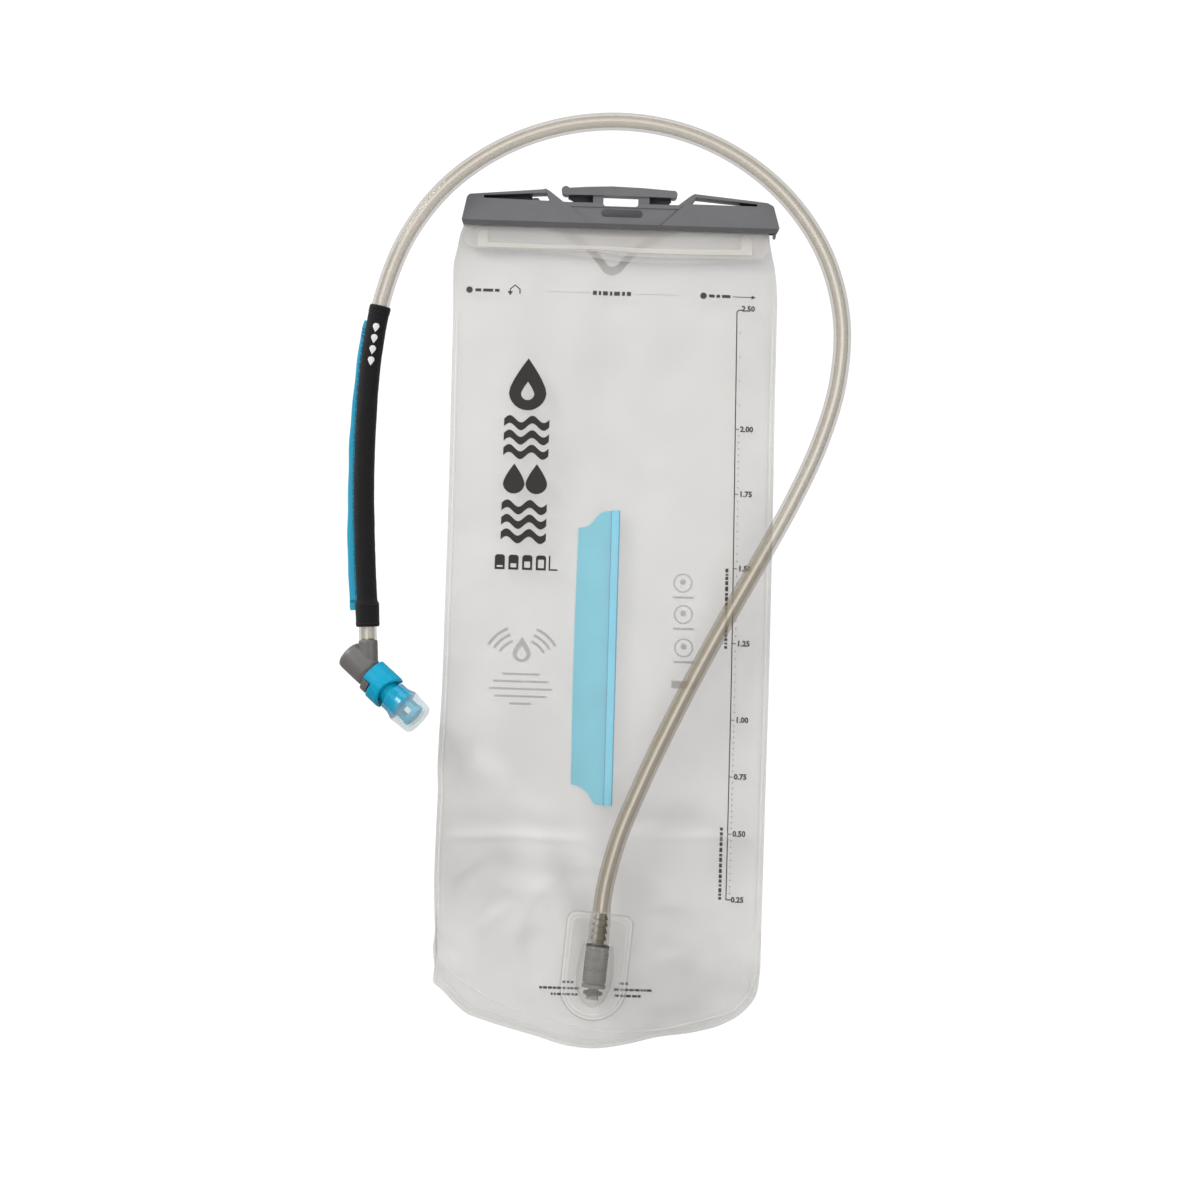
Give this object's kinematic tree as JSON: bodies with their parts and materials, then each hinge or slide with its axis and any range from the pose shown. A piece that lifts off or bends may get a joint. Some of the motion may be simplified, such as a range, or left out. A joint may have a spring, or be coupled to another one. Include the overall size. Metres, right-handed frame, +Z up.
{
  "type": "hydration bladder",
  "caption": "Flat clear water bladder with a slide-off top bar, inner baffle, bottom outlet port with shut-off, and a looped drink tube ending in a twist bite valve.",
  "frame": {"origin": "in the hanger slot of the slider bar, under the strap, on the weld plane of the two films", "axes": "+Z up with the bladder hanging by its bar; -Y out of the printed front; +X to the viewer's right when looking at the printed front, the way the slider bar comes off"},
  "size_m": [0.2678, 0.0357, 0.5029],
  "materials": {
    "film": "satin",
    "rail": "satin",
    "stiffener": "matte",
    "baffle": "satin",
    "housing": "satin",
    "grey": "satin",
    "bar": "fine texture",
    "seal": "matte",
    "steel": "drawn wire",
    "tube": "gloss",
    "sleeve": "knit",
    "tape": "woven",
    "blue": "satin",
    "silicone": "satin"
  },
  "bodies": {
    "reservoir": {"front_panel": "film", "back_panel": "film", "front_rail": "rail", "rear_rail": "rail", "lip_stiffener_front": "stiffener", "lip_stiffener_rear": "stiffener", "baffle_track": "baffle", "baffle_web": "baffle", "port_housing": "housing", "valve_seat": "grey", "poppet_spring": "steel"},
    "poppet": {"shutoff_poppet": "grey", "poppet_seal": "seal"},
    "plug": {"hose_plug": "grey", "plug_o_rings": "seal"},
    "tube": {"drink_tube": "tube", "tube_sleeve": "sleeve", "sleeve_tape": "tape"},
    "elbow": {"valve_body": "grey", "valve_end_cap": "grey"},
    "shutoff": {"twist_collar": "blue", "valve_core": "blue", "core_o_rings": "seal"},
    "cap": {"bite_cap": "silicone"},
    "slider": {"slider_bar": "bar"}
  },
  "joints": [
    {"name": "slider_slide", "type": "slide", "parent": "reservoir", "child": "slider", "axis": [1, 0, 0], "range_m": [0, 0.175]},
    {"name": "plug_release", "type": "slide", "parent": "reservoir", "child": "plug", "axis": [0.0767, 0, 0.9971], "range_m": [0, 0.03]},
    {"name": "poppet_slide", "type": "slide", "parent": "reservoir", "child": "poppet", "axis": [0.0767, 0, 0.9971], "range_m": [0, 0.002], "deforming": ["poppet_spring"]},
    {"name": "tube_swivel", "type": "hinge", "parent": "plug", "child": "tube", "pos_m": [0.00044, -0.0125, -0.4005], "axis": [-0.0767, 0, -0.9971], "range_deg": [0, 120]},
    {"name": "elbow_swivel", "type": "hinge", "parent": "tube", "child": "elbow", "pos_m": [-0.1265, -0.0145, -0.25866], "axis": [-0.0558, 0, 0.9984], "continuous": true},
    {"name": "shutoff_twist", "type": "hinge", "parent": "elbow", "child": "shutoff", "pos_m": [-0.1265, -0.0145, -0.25866], "axis": [-0.7427, 0.2079, 0.6366], "range_deg": [0, 90]},
    {"name": "bite_cap_pull", "type": "slide", "parent": "shutoff", "child": "cap", "axis": [0.7427, -0.2079, -0.6366], "range_m": [0, 0.012], "stiffness_N_per_m": 60}
  ],
  "couplings": [
    {"joint": "poppet_slide", "follows": "plug_release", "ratio": 0.066667}
  ]
}
